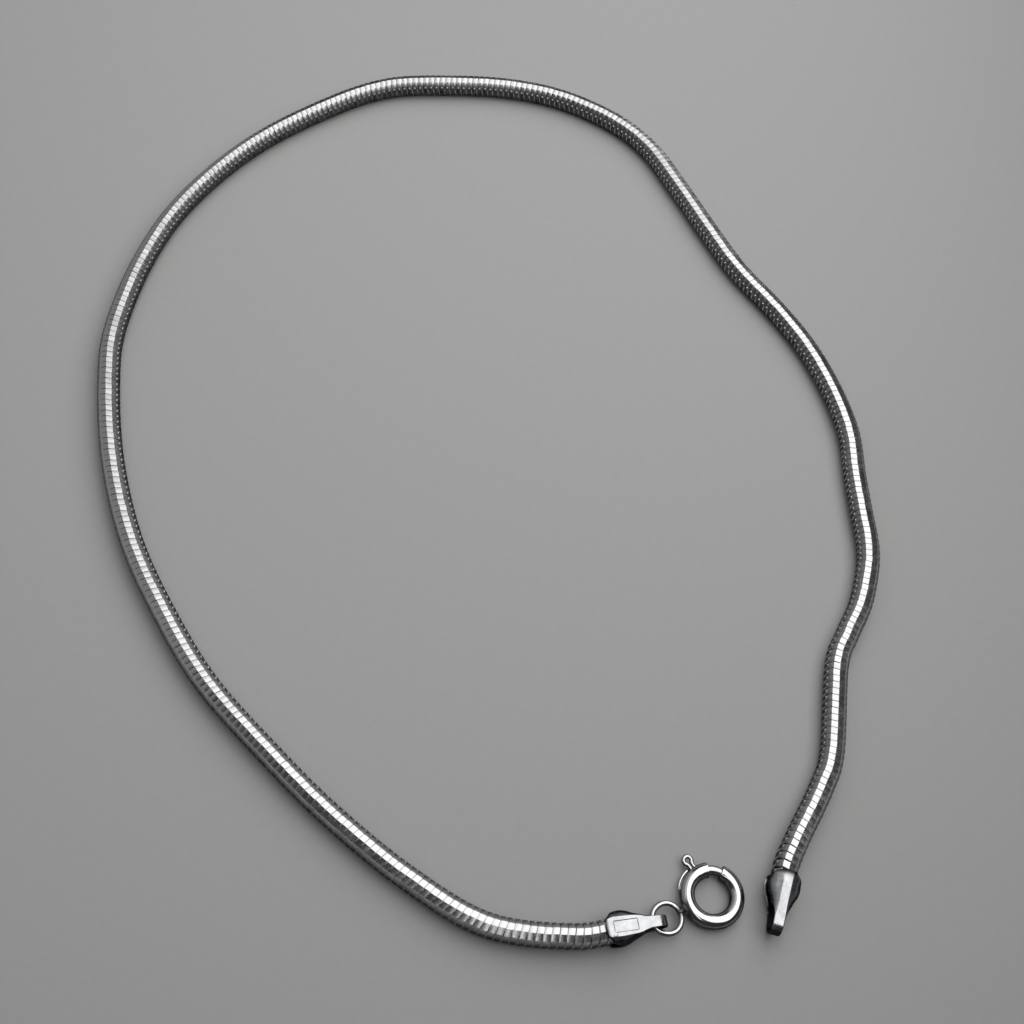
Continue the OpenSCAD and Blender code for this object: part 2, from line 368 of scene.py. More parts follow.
def soften_edges(piece, width):
    """Rounds the piece's crisp edges."""
    bevel = piece.modifiers.new("soft edges", "BEVEL")
    bevel.width = width
    bevel.segments = BEVEL_SEGMENTS
    bevel.limit_method = "ANGLE"
    bevel.angle_limit = radians(BEVEL_ANGLE)
    bevel.use_clamp_overlap = True
    mesh = apply_modifiers(piece)
    mesh.shade_smooth()
    mesh.set_sharp_from_angle(angle=radians(CRISP_ANGLE))


def joined(name, meshes):
    """One mesh of several closed shells."""
    whole = bmesh.new()
    for mesh in meshes:
        whole.from_mesh(mesh)
    mesh = bpy.data.meshes.new(name)
    whole.to_mesh(mesh)
    whole.free()
    return mesh


def mark_painted_shade(mesh, rule):
    """Writes each point's painted shade, from 0 to 1, as the attribute that the silver's mask
    reads.
    """
    layer = mesh.attributes.new("recess", "FLOAT", "POINT")
    for point, value in zip(mesh.vertices, layer.data):
        value.value = min(1.0, max(0.0, rule(point.co)))


def catmull_rom(a, b, c, d, t):
    """A point on the smooth curve from b to c, which comes from a and goes on to d."""
    turn = (c - a) * t / 2
    bend = (2 * a - 5 * b + 4 * c - d) * t * t / 2
    return b + turn + bend + (3 * b - a - 3 * c + d) * t ** 3 / 2


def smooth_run(points, steps):
    """Points on a smooth curve through the given ones."""
    padded = [2 * points[0] - points[1], *points, 2 * points[-1] - points[-2]]
    run = []
    for i in range(1, len(points)):
        run += [catmull_rom(*padded[i - 1:i + 3], k / steps) for k in range(steps)]
    return run + [points[-1]]


def wire(run, radius, sides, closed=False, round_ends=True):
    """Points and faces of a round wire along a run of points, which may have rounded ends."""
    count = len(run)
    end = []
    if round_ends and not closed:
        end = [(cos(radians(a)), sin(radians(a))) for a in WIRE_END_ANGLES]
    rings = []
    across = None
    for i, centre in enumerate(run):
        before = run[(i - 1) % count] if closed or i > 0 else run[0]
        after = run[(i + 1) % count] if closed or i < count - 1 else run[-1]
        along = (after - before).normalized()
        across = along.orthogonal() if across is None else across - across.dot(along) * along
        across = across.normalized()
        up = along.cross(across)
        steps = [(0, 1)]
        if i == 0:
            steps = [(-shift, share) for shift, share in end] + steps
        if i == count - 1:
            steps = steps + end[::-1]
        for shift, share in steps:
            middle = centre + along * shift * radius
            rings.append([
                middle + share * radius * (across * cos(a) + up * sin(a))
                for a in [2 * pi * k / sides for k in range(sides)]
            ])
    return skin(rings, closed)


# Camera, light and floor
def add_camera():
    """The camera of the photograph, which looks down from the front and is rolled a little."""
    data = bpy.data.cameras.new("camera")
    data.sensor_fit = "HORIZONTAL"
    data.sensor_width = SENSOR_MM
    data.lens = SENSOR_MM * FOCAL_SHARE
    data.clip_start = 0.005
    data.clip_end = 20
    camera = new_piece("camera", data)
    camera.matrix_world = (
        Matrix.Translation(CAMERA_PLACE)
        @ Matrix.Rotation(radians(CAMERA_TILT), 4, "X")
        @ Matrix.Rotation(radians(CAMERA_ROLL), 4, "Z")
    )
    scene.camera = camera


def add_softbox(name, middle, side, length_direction, width, length, radiance):
    """A flat soft light that shines away from side x length_direction."""
    data = bpy.data.lights.new(name, "AREA")
    data.shape = "RECTANGLE"
    data.size = width
    data.size_y = length
    data.energy = radiance * pi * width * length
    facing = side.cross(length_direction)
    light = new_piece(name, data)
    light.matrix_world = Matrix.Translation(middle) @ Matrix(
        (side, length_direction, facing)
    ).transposed().to_4x4()
    return light


def add_panel(name, left_edge, right_edge, front, radiance):
    """A soft light from front to back between two of its long edges."""
    across = right_edge - left_edge
    middle = (left_edge + right_edge) / 2
    middle.y = (front + SOFTBOX_BACK) / 2
    add_softbox(
        name, middle, across.normalized(), Vector((0, 1, 0)),
        across.length, SOFTBOX_BACK - front, radiance,
    )


def add_lights():
    """The softbox, its fading edge, the fill and the dim room."""
    for i, front in enumerate(SOFTBOX_FRONTS):
        left_edge, right_edge = SOFTBOX_LINES[i:i + 2]
        add_panel(f"softbox_{i + 1}", left_edge, right_edge, front, SOFTBOX_RADIANCE)
    add_panel("fade", FADE_EDGE, SOFTBOX_LINES[0], FADE_FRONT, FADE_RADIANCE)
    fill = add_softbox(
        "fill", FILL_PLACE, Vector((0, 0, 1)), Vector((0, 1, 0)),
        FILL_HEIGHT, FILL_WIDTH, FILL_RADIANCE,
    )
    fill.data.color = FILL_COLOUR
    world = bpy.data.worlds.new("room")
    world.use_nodes = True
    background = world.node_tree.nodes["Background"]
    background.inputs["Color"].default_value = (1, 1, 1, 1)
    background.inputs["Strength"].default_value = ROOM_RADIANCE
    scene.world = world


# Shader node groups and materials
class Graph:
    """Short ways to add and link nodes in one node tree."""

    def __init__(self, tree):
        self.tree = tree

    def node(self, kind, settings=None, **inputs):
        """A node with its settings, and its inputs by their names with _ for each space."""
        made = self.tree.nodes.new(kind)
        for key, value in (settings or {}).items():
            setattr(made, key, value)
        for key, value in inputs.items():
            self.put(made, key.replace("_", " "), value)
        return made

    def put(self, node, socket, value):
        """Links or sets a node's input, which is given by its name or number."""
        target = node.inputs[socket]
        if isinstance(value, bpy.types.NodeSocket):
            self.tree.links.new(value, target)
        else:
            target.default_value = value

    def math(self, operation, *values, clamp=False):
        """The result of an operation on numbers or sockets."""
        made = self.tree.nodes.new("ShaderNodeMath")
        made.operation = operation
        made.use_clamp = clamp
        for i, value in enumerate(values):
            self.put(made, i, value)
        return made.outputs[0]

    def vector_math(self, operation, *values):
        """The result of an operation on vectors or sockets."""
        made = self.tree.nodes.new("ShaderNodeVectorMath")
        made.operation = operation
        for i, value in enumerate(values):
            self.put(made, i, value)
        return made.outputs[0]

    def blend(self, share, first, second):
        """The colour at a share of the way from the first to the second."""
        made = self.node("ShaderNodeMix", {"data_type": "RGBA"}, Factor=share)
        self.put(made, 6, first)
        self.put(made, 7, second)
        return made.outputs[2]


def add_sockets(tree, direction, rows):
    """Adds a group's inputs or outputs, as names, kinds and default values."""
    for name, kind, value in rows:
        socket = tree.interface.new_socket(name=name, in_out=direction, socket_type=kind)
        if value is not None:
            socket.default_value = value


def scratch_lines(g, position, width):
    """Mask of fine lines in three directions."""
    scale = g.math("DIVIDE", 1.0, width)
    masks = []
    for turn, slowness in SCRATCH_RUNS:
        turned = g.node(
            "ShaderNodeMapping", Vector=position,
            Rotation=[turn * share for share in SCRATCH_TURN_SHARES], Scale=(slowness, 1.0, 1.0),
        ).outputs[0]
        lines = g.node(
            "ShaderNodeTexNoise", Vector=turned, Scale=scale, Detail=1.0, Roughness=0.4,
        )
        off_line = g.math("ABSOLUTE", g.math("SUBTRACT", lines.outputs["Fac"], 0.5))
        faded = g.math("MULTIPLY", off_line, SCRATCH_SHARPNESS)
        masks.append(g.math("SUBTRACT", 1.0, faded, clamp=True))
    return g.math("MAXIMUM", g.math("MAXIMUM", masks[0], masks[1]), masks[2])


def handling_group():
    """Light scratches and smudges from handling."""
    tree = bpy.data.node_groups.new("handling", "ShaderNodeTree")
    add_sockets(tree, "INPUT", [
        ("Position", "NodeSocketVector", None),
        ("Smudge size", "NodeSocketFloat", 0.002),
        ("Scratch width", "NodeSocketFloat", 0.00003),
        ("Smudges", "NodeSocketFloat", 0.5),
        ("Scratches", "NodeSocketFloat", 0.5),
    ])
    add_sockets(tree, "OUTPUT", [
        ("Roughness", "NodeSocketFloat", None),
        ("Height", "NodeSocketFloat", None),
    ])
    g = Graph(tree)
    given = tree.nodes.new("NodeGroupInput").outputs
    out = tree.nodes.new("NodeGroupOutput")
    smudge_scale = g.math("DIVIDE", 1.0, given["Smudge size"])
    smudge = g.node(
        "ShaderNodeTexNoise", Vector=given["Position"],
        Scale=smudge_scale, Detail=4.0, Roughness=0.6,
    )
    smudge_part = g.math("MULTIPLY", smudge.outputs["Fac"], given["Smudges"])
    lines_mask = scratch_lines(g, given["Position"], given["Scratch width"])
    patch_scale, contrast, level = SCRATCH_PATCHES
    patches = g.node(
        "ShaderNodeTexNoise", Vector=given["Position"],
        Scale=g.math("MULTIPLY", smudge_scale, patch_scale), Detail=2.0,
    )
    shown = g.math("MULTIPLY_ADD", patches.outputs["Fac"], contrast, level, clamp=True)
    scratch = g.math("MULTIPLY", g.math("MULTIPLY", lines_mask, shown), given["Scratches"])
    rough_scratch = g.math("MULTIPLY", scratch, SCRATCH_ROUGHNESS)
    g.put(out, "Height", g.math("MULTIPLY", scratch, -1.0))
    g.put(out, "Roughness", g.math("ADD", smudge_part, rough_scratch))
    return tree


def shade_and_tarnish_group():
    """Mask of painted shade, in patches where the shade attribute marks it, and of a thin dark
    film.
    """
    tree = bpy.data.node_groups.new("tarnish", "ShaderNodeTree")
    add_sockets(tree, "INPUT", [
        ("Position", "NodeSocketVector", None),
        ("Recess", "NodeSocketFloat", 0.0),
        ("Patch size", "NodeSocketFloat", 0.001),
        ("Patchiness", "NodeSocketFloat", 0.5),
        ("Film", "NodeSocketFloat", 0.1),
    ])
    add_sockets(tree, "OUTPUT", [("Mask", "NodeSocketFloat", None)])
    g = Graph(tree)
    given = tree.nodes.new("NodeGroupInput").outputs
    out = tree.nodes.new("NodeGroupOutput")
    noise = g.node(
        "ShaderNodeTexNoise", Vector=given["Position"],
        Scale=g.math("DIVIDE", 1.0, given["Patch size"]), Detail=5.0, Roughness=0.65,
    ).outputs["Fac"]
    patch = g.math("MULTIPLY", g.math("SUBTRACT", noise, 0.5), given["Patchiness"])
    held = g.math("MULTIPLY", given["Recess"], g.math("ADD", 1.0, patch))
    film = g.math("MULTIPLY", noise, given["Film"])
    g.put(out, "Mask", g.math("ADD", held, film, clamp=True))
    return tree


def silver(name, tone, roughness, film, smudges, scratches, dulling=0.0):
    """Polished silver with painted shade, a thin dark film and marks of handling."""
    material = bpy.data.materials.new(name)
    material.use_nodes = True
    g = Graph(material.node_tree)
    shader = material.node_tree.nodes["Principled BSDF"]
    shader.inputs["Metallic"].default_value = 1.0
    shader.inputs["Specular Tint"].default_value = GRAZING_TINT
    position = g.node("ShaderNodeTexCoord").outputs["Object"]
    recess = g.node("ShaderNodeAttribute", {"attribute_name": "recess"}).outputs["Fac"]
    dark = g.node(
        "ShaderNodeGroup", {"node_tree": tarnish}, Position=position, Recess=recess, Film=film,
    ).outputs["Mask"]
    marks = g.node(
        "ShaderNodeGroup", {"node_tree": handling},
        Position=position, Smudges=smudges, Scratches=scratches,
    ).outputs
    bright = (*tone, 1)
    if dulling:
        plate = g.node("ShaderNodeAttribute", {"attribute_name": "plate_tone"}).outputs["Fac"]
        bright = g.blend(g.math("MULTIPLY", plate, dulling), bright, DULL_TONE)
    # Painted shade and the thin film turn the base colour towards one dark tone, and roughen it
    g.put(shader, "Base Color", g.blend(dark, bright, SHADE_AND_TARNISH_TONE))
    rough = g.math("ADD", roughness, marks["Roughness"])
    g.put(shader, "Roughness", g.math("MULTIPLY_ADD", dark, SHADE_AND_TARNISH_ROUGHNESS, rough))
    bump = g.node("ShaderNodeBump", Height=marks["Height"], Distance=SCRATCH_DEPTH, Strength=1.0)
    g.put(shader, "Normal", bump.outputs["Normal"])
    return material


def floor_material():
    """A pale, even surface with a fine grain."""
    material = bpy.data.materials.new("pale_floor")
    material.use_nodes = True
    g = Graph(material.node_tree)
    shader = material.node_tree.nodes["Principled BSDF"]
    position = g.node("ShaderNodeTexCoord").outputs["Object"]
    grain = g.node("ShaderNodeTexNoise", Vector=position, Scale=FLOOR_GRAIN, Detail=4.0)
    darker = (*[x * (1 - FLOOR_GRAIN_CONTRAST) for x in FLOOR_TONE], 1)
    lighter = (*[x * (1 + FLOOR_GRAIN_CONTRAST) for x in FLOOR_TONE], 1)
    g.put(shader, "Base Color", g.blend(grain.outputs["Fac"], darker, lighter))
    shader.inputs["Roughness"].default_value = FLOOR_ROUGHNESS
    shader.inputs["Specular IOR Level"].default_value = FLOOR_GLOSS
    return material


def add_floor():
    """The surface that the necklace lies on, which is not part of it."""
    h = FLOOR_HALF
    mesh = bpy.data.meshes.new("floor")
    mesh.from_pydata([(-h, -h, 0), (h, -h, 0), (h, h, 0), (-h, h, 0)], [], [(0, 1, 2, 3)])
    floor = new_piece("floor", mesh)
    mesh.materials.append(floor_material())


# Chain
def cap_height(node):
    """Height of the middle of a cap."""
    low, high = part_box(node)
    return (low.z + high.z) / 2


def chain_line():
    """The middle of the chain, as points on its smooth route."""
    points = smooth_run([Vector(p) for p in ROUTE], ROUTE_STEPS)
    half = len(points) / 2
    line = []
    for i, p in enumerate(points):
        cap_z = cap_height("clasp_end_cap" if i < half else "free_end_cap")
        share = min(1.0, max(0.0, p.z))
        line.append(Vector((p.x, p.y, CHAIN_RADIUS + (cap_z - CHAIN_RADIUS) * share)))
    return line


def seam_lean(angle):
    """How far along the chain a plate's edge stands at an angle from its inner seam."""
    share = (cos(radians(angle)) + 1 - angle / 90) / 2
    return -PLATE_LEAN * share


def seam_share(angle):
    """1 on either seam of a plate, and 0 a short way round from it."""
    return 1 - ease(min(angle, 180 - angle), 0, SEAM_FADE)


def plate_profile(angle):
    """Places along the chain and depths of a plate's closed section at an angle from its seam."""
    seam = seam_share(angle)
    dip = SEAM_DIP * seam
    start = SEAM_NARROWING * seam
    end = PLATE_PITCH - PLATE_GAP - SEAM_NARROWING * seam
    return [
        (start, PLATE_EDGE_DEPTH + PLATE_CROWN + dip),
        (start + PLATE_EDGE, PLATE_CROWN + dip),
        ((start + end) / 2, dip),
        (end - PLATE_EDGE, PLATE_CROWN + dip),
        (PLATE_PITCH + PLATE_TAIL, PLATE_TAIL_DEPTH),
    ]


def plate_mesh():
    """One plate, along Z, with X towards the inside of the loop and Y down."""
    angles = list(PLATE_ANGLES) + [360 - a for a in PLATE_ANGLES[-2:0:-1]]
    columns = []
    for angle in angles:
        turned = radians(angle - SEAM_RISE)
        lean = seam_lean(min(angle, 360 - angle)) - PLATE_PITCH / 2
        column = []
        for along, depth in plate_profile(min(angle, 360 - angle)):
            reach = PLATE_RADIUS - depth
            column.append(Vector((reach * cos(turned), reach * sin(turned), along + lean)))
        columns.append(column)
    rings = [list(ring) for ring in zip(*columns)]
    points, faces = skin(rings, closed=True)
    for seam in (0, 180):
        add_bead(points, faces, seam)
    mesh = bpy.data.meshes.new("plate")
    mesh.from_pydata([tuple(p) for p in points], [], faces)
    turn_outwards(mesh)
    mesh.shade_smooth()
    mesh.set_sharp_from_angle(angle=radians(PLATE_CRISP))
    mark_plate(mesh, len(angles))
    return mesh


def mark_plate(mesh, band_faces):
    """Paints shade on the plate's sides, seams and hidden faces; its edges and beads stay bright.
    """
    layer = mesh.attributes.new("recess", "FLOAT", "CORNER")
    for face in mesh.polygons:
        band = face.index // band_faces
        for corner in face.loop_indices:
            p = mesh.vertices[mesh.loops[corner].vertex_index].co
            layer.data[corner].value = plate_shade(p, band)


def plate_shade(p, band):
    """Painted shade of a plate's edge, face, tail, inside and beads, by their place in the section.
    """
    rise = degrees(atan2(-p.y, abs(p.x)))
    if band == EDGE_BAND:
        start, full = DARK_LOW_EDGE
        return DARK_SIDE * ease(start - rise, 0, start - full)
    if band in (FRONT_BAND, BACK_BAND):
        start, full = DARK_INNER_SIDE if p.x > 0 else DARK_OUTER_SIDE
        side = DARK_SIDE * ease(start - rise, 0, start - full)
        if p.x <= 0:
            return side
        return max(side, DARK_SEAM * (1 - ease(abs(rise - SEAM_RISE), 0, SEAM_FADE)))
    if band == TAIL_BAND:
        return ease(PLATE_RADIUS - hypot(p.x, p.y), 0, PLATE_TAIL_DEPTH)
    return 1.0 if band == INSIDE_BAND else DARK_BEAD


def add_bead(points, faces, seam):
    """A small rounded tip at one seam, where the plates' ends meet."""
    turned = radians(seam - SEAM_RISE)
    out = Vector((cos(turned), sin(turned), 0))
    side = Vector((-sin(turned), cos(turned), 0))
    along = Vector((0, 0, 1))
    slant = radians(BEAD_SLANT)
    longer = along * cos(slant) + side * sin(slant)
    shorter = side * cos(slant) - along * sin(slant)
    middle = out * PLATE_RADIUS + Vector((0, 0, seam_lean(seam)))
    first = len(points)
    for k in range(BEAD_SIDES):
        a = 2 * pi * k / BEAD_SIDES
        points.append(
            middle - out * BEAD_DEPTH
            + longer * BEAD_HALF_LENGTH * cos(a) + shorter * BEAD_HALF_WIDTH * sin(a)
        )
    points.append(middle + out * BEAD_HEIGHT)
    for k in range(BEAD_SIDES):
        m = (k + 1) % BEAD_SIDES
        faces.append((first + k, first + m, first + BEAD_SIDES))
    faces.append(tuple(first + k for k in reversed(range(BEAD_SIDES))))


def plate_places(g, given):
    """How far along the line each plate stands, a little further apart at both ends."""
    index = g.node("GeometryNodeInputIndex").outputs[0]
    last = g.math("SUBTRACT", given["Plates"], 1.0)

    def fading(steps):
        """What is left of the pull, a number of plates away from an end."""
        share = g.math("DIVIDE", g.math("MULTIPLY", steps, -1.0), given["Stretched plates"])
        return g.math("EXPONENT", share)

    pull = g.math("SUBTRACT", fading(g.math("SUBTRACT", last, index)), fading(index))
    even = g.math("MULTIPLY_ADD", index, given["Pitch"], given["Start"])
    pulled = g.math("MULTIPLY", g.math("ADD", pull, 1.0), given["End stretch"])
    return g.math("ADD", even, pulled)


def plate_turns(g, given, tangent):
    """Each plate's rotation: along the line, level, and turned a little at random."""
    inward = g.vector_math("CROSS_PRODUCT", tangent, (0.0, 0.0, 1.0))
    facing = g.node("FunctionNodeAxesToRotation", {"primary_axis": "Z", "secondary_axis": "X"})
    g.put(facing, 0, tangent)
    g.put(facing, 1, inward)
    low = g.node("ShaderNodeCombineXYZ")
    high = g.node("ShaderNodeCombineXYZ")
    for axis, share in enumerate(PLATE_TURN_SHARES):
        amount = g.math("MULTIPLY", given["Turn"], share)
        g.put(high, axis, amount)
        g.put(low, axis, g.math("MULTIPLY", amount, -1.0))
    random_turn = g.node(
        "FunctionNodeRandomValue", {"data_type": "FLOAT_VECTOR"}, Seed=given["Seed"],
    )
    g.put(random_turn, 0, low.outputs[0])
    g.put(random_turn, 1, high.outputs[0])
    turn = g.node("FunctionNodeEulerToRotation", Euler=random_turn.outputs[0]).outputs[0]
    rotation = g.node("FunctionNodeRotateRotation", {"rotation_space": "LOCAL"})
    g.put(rotation, 0, facing.outputs[0])
    g.put(rotation, 1, turn)
    return rotation.outputs[0]


def plate_row_tree():
    """Geometry Nodes tree that lays plates along a line, closer in the middle than at its ends."""
    tree = bpy.data.node_groups.new("plate_row", "GeometryNodeTree")
    add_sockets(tree, "INPUT", [
        ("Line", "NodeSocketGeometry", None),
        ("Plate", "NodeSocketObject", None),
        ("Plates", "NodeSocketInt", 10),
        ("Start", "NodeSocketFloat", 0.0),
        ("Pitch", "NodeSocketFloat", 0.001),
        ("End stretch", "NodeSocketFloat", 0.0),
        ("Stretched plates", "NodeSocketFloat", 3.0),
        ("Turn", "NodeSocketFloat", 0.0),
        ("Seed", "NodeSocketInt", 0),
        ("Material", "NodeSocketMaterial", None),
    ])
    add_sockets(tree, "OUTPUT", [("Chain", "NodeSocketGeometry", None)])
    g = Graph(tree)
    given = tree.nodes.new("NodeGroupInput").outputs
    out = tree.nodes.new("NodeGroupOutput")
    curve = g.node("GeometryNodeMeshToCurve", Mesh=given["Line"]).outputs[0]
    on_line = g.node(
        "GeometryNodeSampleCurve", {"mode": "LENGTH"},
        Curves=curve, Length=plate_places(g, given),
    ).outputs
    points = g.node(
        "GeometryNodePoints", Count=given["Plates"], Position=on_line["Position"],
    ).outputs[0]
    plate = g.node("GeometryNodeObjectInfo", Object=given["Plate"]).outputs["Geometry"]
    row = g.node(
        "GeometryNodeInstanceOnPoints",
        Points=points, Instance=plate, Rotation=plate_turns(g, given, on_line["Tangent"]),
    ).outputs[0]
    tone = g.node(
        "FunctionNodeRandomValue", {"data_type": "FLOAT"},
        Seed=g.math("ADD", given["Seed"], 1.0),
    ).outputs[1]
    toned = g.node(
        "GeometryNodeStoreNamedAttribute", {"data_type": "FLOAT", "domain": "INSTANCE"},
        Geometry=row, Name="plate_tone", Value=tone,
    ).outputs[0]
    real = g.node("GeometryNodeRealizeInstances", Geometry=toned).outputs[0]
    made = g.node("GeometryNodeSetMaterial", Geometry=real, Material=given["Material"])
    g.put(out, 0, made.outputs[0])
    return tree


def set_inputs(modifier, values):
    """Sets a Geometry Nodes modifier's inputs by each socket's own identifier."""
    for item in modifier.node_group.interface.items_tree:
        if item.item_type == "SOCKET" and item.in_out == "INPUT" and item.name in values:
            modifier[item.identifier] = values[item.name]


def add_chain(material):
    """The row of plates along the chain's route."""
    line = chain_line()
    total = sum((b - a).length for a, b in zip(line, line[1:])) - 2 * ROUTE_TRIM
    gaps = round((total - 2 * END_STRETCH) / PLATE_PITCH)
    route = bpy.data.meshes.new("route")
    route.from_pydata([tuple(p) for p in line], [(i, i + 1) for i in range(len(line) - 1)], [])
    chain = new_piece("chain_plates", route)
    plate = new_piece("plate_pattern", plate_mesh())
    row = chain.modifiers.new("plate row", "NODES")
    row.node_group = plate_row_tree()
    set_inputs(row, {
        "Plate": plate,
        "Plates": gaps + 1,
        "Start": ROUTE_TRIM,
        "Pitch": (total - 2 * END_STRETCH) / gaps,
        "End stretch": END_STRETCH,
        "Stretched plates": END_STRETCH_PLATES,
        "Turn": radians(PLATE_TURN),
        "Seed": PLATE_SEED,
        "Material": material,
    })
    apply_modifiers(chain)
    bpy.data.objects.remove(plate)
    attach(chain, "necklace")
    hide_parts("snake_chain")


# End caps
def between_rows(column, place):
    """Value of a leaf's column between its rows, on a smooth curve that never overshoots."""
    places = [row[0] for row in LEAF_ROWS]
    values = [row[column] for row in LEAF_ROWS]
    steps = [b - a for a, b in zip(places, places[1:])]
    rises = [(b - a) / h for a, b, h in zip(values, values[1:], steps)]
    slopes = [rises[0]]
    for a, b in zip(rises, rises[1:]):
        slopes.append(0 if a * b <= 0 else 2 * a * b / (a + b))
    slopes.append(rises[-1])
    i = max(k for k in range(len(steps)) if places[k] <= place or k == 0)
    t = (place - places[i]) / steps[i]
    return (
        values[i] * (1 + 2 * t) * (1 - t) ** 2
        + slopes[i] * steps[i] * t * (1 - t) ** 2
        + values[i + 1] * t * t * (3 - 2 * t)
        + slopes[i + 1] * steps[i] * t * t * (t - 1)
    )


def leaf_section(place, leaf_flat):
    """Place, height, outward direction, width, flat and dish of the sheet, along a leaf."""
    height = FOLD_RADIUS + (CROWN - FOLD_RADIUS) * between_rows(3, place)
    flat = TONGUE_WIDTH * TONGUE_FLAT
    return (
        place * LEAF_LENGTH, height, 0, 1,
        TONGUE_WIDTH + (LEAF_WIDTH - TONGUE_WIDTH) * between_rows(1, place),
        flat + (leaf_flat - flat) * between_rows(2, place),
        (height - RIM_GAP / 2) * between_rows(4, place),
    )


def half_face(flat, side, top, drop):
    """The sheet's face from the middle of its flat out to its rim."""
    face = [(0, top)] + [(min(x, flat / 2 * most), top) for x, most in PANEL_COLUMNS]
    for k in range(SIDE_STEPS + 1):
        a = pi / 2 * k / SIDE_STEPS
        fall = 1 - cos(a) + SIDE_STRAIGHTNESS * (sin(a) + cos(a) - 1)
        face.append((flat / 2 + side * sin(a), top + drop * fall))
    return face


def whole_face(half):
    """A face from rim to rim."""
    return [(-x, y) for x, y in reversed(half[1:])] + half


def cap_ring(section):
    """One closed section of the sheet, outer face and inner face."""
    x, z, out_x, out_z, width, flat, drop = section
    bend = min(1, drop / (2 * SHEET))
    inner_flat = flat - SHEET * bend / 2
    inner_side = width / 2 - SHEET * bend - inner_flat / 2
    outer = whole_face(half_face(flat, (width - flat) / 2, 0, drop))
    inner = whole_face(half_face(inner_flat, inner_side, SHEET, bend * max(0, drop - SHEET)))
    outline = outer + inner[::-1]
    return [Vector((x - out_x * depth, across, z - out_z * depth)) for across, depth in outline]


def leaf_places():
    """Places along a leaf, closer together at the nose, with the panel's walls among them."""
    places = {(k / LEAF_STEPS) ** LEAF_CLOSENESS for k in range(LEAF_STEPS + 1)}
    walls = {
        PANEL_START / LEAF_LENGTH, (PANEL_START + PANEL_WALL) / LEAF_LENGTH,
        (PANEL_END - PANEL_WALL) / LEAF_LENGTH, PANEL_END / LEAF_LENGTH,
    }
    clear = PANEL_WALL / LEAF_LENGTH
    kept = {p for p in places if all(abs(p - w) > clear for w in walls)}
    return sorted(kept | walls)


def cap_mesh(name, leaf_flat, panel):
    """The folded sheet, with its nose at the origin and its fold towards +X."""
    leaf = [leaf_section(place, leaf_flat) for place in leaf_places()]
    fold = []
    for k in range(FOLD_STEPS + 1):
        a = pi / 2 - pi * k / FOLD_STEPS
        fold.append((
            LEAF_LENGTH + TONGUE_LENGTH + FOLD_RADIUS * cos(a), FOLD_RADIUS * sin(a),
            cos(a), sin(a), TONGUE_WIDTH, TONGUE_WIDTH * TONGUE_FLAT, TONGUE_EDGE,
        ))
    back = [(s[0], -s[1], s[2], -s[3], *s[4:]) for s in reversed(leaf)]
    rings = [cap_ring(s) for s in leaf + fold + back]
    if panel:
        for ring, section in zip(rings, leaf):
            sink_panel(ring, section)
    sides = len(rings[0])
    points, faces = skin(rings)
    half = sides // 2
    last = (len(rings) - 1) * sides
    faces = faces[:-2]
    for k in range(half - 1):
        strip = (k, k + 1, sides - 2 - k, sides - 1 - k)
        faces.append(strip)
        faces.append(tuple(v + last for v in reversed(strip)))
    mesh = mesh_from(name, points, faces, CAP_CRISP)
    turn_outwards(mesh)
    # Painted shade inside the fold, at the nose, and on the clasp cap's lower leaf
    if panel:
        mark_cap(mesh, sides, LOWER_LEAF_SHADE, *CLASP_NOSE_SHADE)
    else:
        mark_cap(mesh, sides, 0, *FREE_NOSE_SHADE)
    return mesh


def sink_panel(ring, section):
    """Lowers the part of the outer face that the blank panel covers."""
    if not PANEL_START + PANEL_WALL / 2 < section[0] < PANEL_END - PANEL_WALL / 2:
        return
    for p in ring[:len(ring) // 2]:
        if abs(p.y) < PANEL_HALF_WIDTH - PANEL_WALL / 2:
            p.z -= PANEL_DEPTH


def mark_cap(mesh, sides, lower_shade, nose_share, nose_length):
    """Painted shade on the inner face of the folded sheet, at its nose and on its lower leaf."""
    layer = mesh.attributes.new("recess", "FLOAT", "POINT")
    for i, (value, point) in enumerate(zip(layer.data, mesh.vertices)):
        nose = nose_share * (1 - ease(point.co.x, 0, nose_length))
        lower = lower_shade * ease(-point.co.z, 0, RIM_GAP / 2)
        value.value = INNER_FACE_SHADE if i % sides >= sides // 2 else max(nose, lower)


def paint_side_shade(mesh, amount, start, full):
    """Adds painted shade to faces whose normals rise less than start, at its full amount below
    full.
    """
    for value, point in zip(mesh.attributes["recess"].data, mesh.vertices):
        value.value = max(value.value, amount * ease(start - point.normal.z, 0, start - full))


def add_cap(name, node, end, inner, roll, leaf_flat, material, panel):
    """A folded cap over the end of the chain, which runs from inner to end."""
    away = Vector((end[0] - inner[0], end[1] - inner[1], 0)).normalized()
    nose = Vector((end[0], end[1], 0)) - away * CHAIN_HELD
    nose.z = cap_height(node)
    mesh = cap_mesh(name, leaf_flat, panel)
    mesh.transform(
        Matrix.Translation(nose)
        @ Matrix.Rotation(atan2(away.y, away.x), 4, "Z")
        @ Matrix.Rotation(radians(-roll), 4, "X")
    )
    mesh.materials.append(material)
    cap = new_piece(name, mesh)
    soften_edges(cap, RIM_ROUND)
    # Painted shade on the faces that turn sideways and down
    paint_side_shade(cap.data, *CAP_SIDE_SHADE)
    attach(cap, "necklace")
    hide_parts(node)


# Spring ring clasp
def ring_frame():
    """Takes the clasp's own frame to its place in the necklace, by its sliding joint."""
    axis = Vector(JOINT["axis"])
    if axis.z < 0:
        axis = -axis
    lean = Vector((0, 0, 1)).rotation_difference(axis)
    return Matrix.Translation(JOINT["pos_m"]) @ lean.to_matrix().to_4x4()


def on_ring(angle, reach, height=0.0):
    """A point of the clasp by its angle round the ring, its reach and its height."""
    return Vector((reach * cos(radians(angle)), reach * sin(radians(angle)), height))


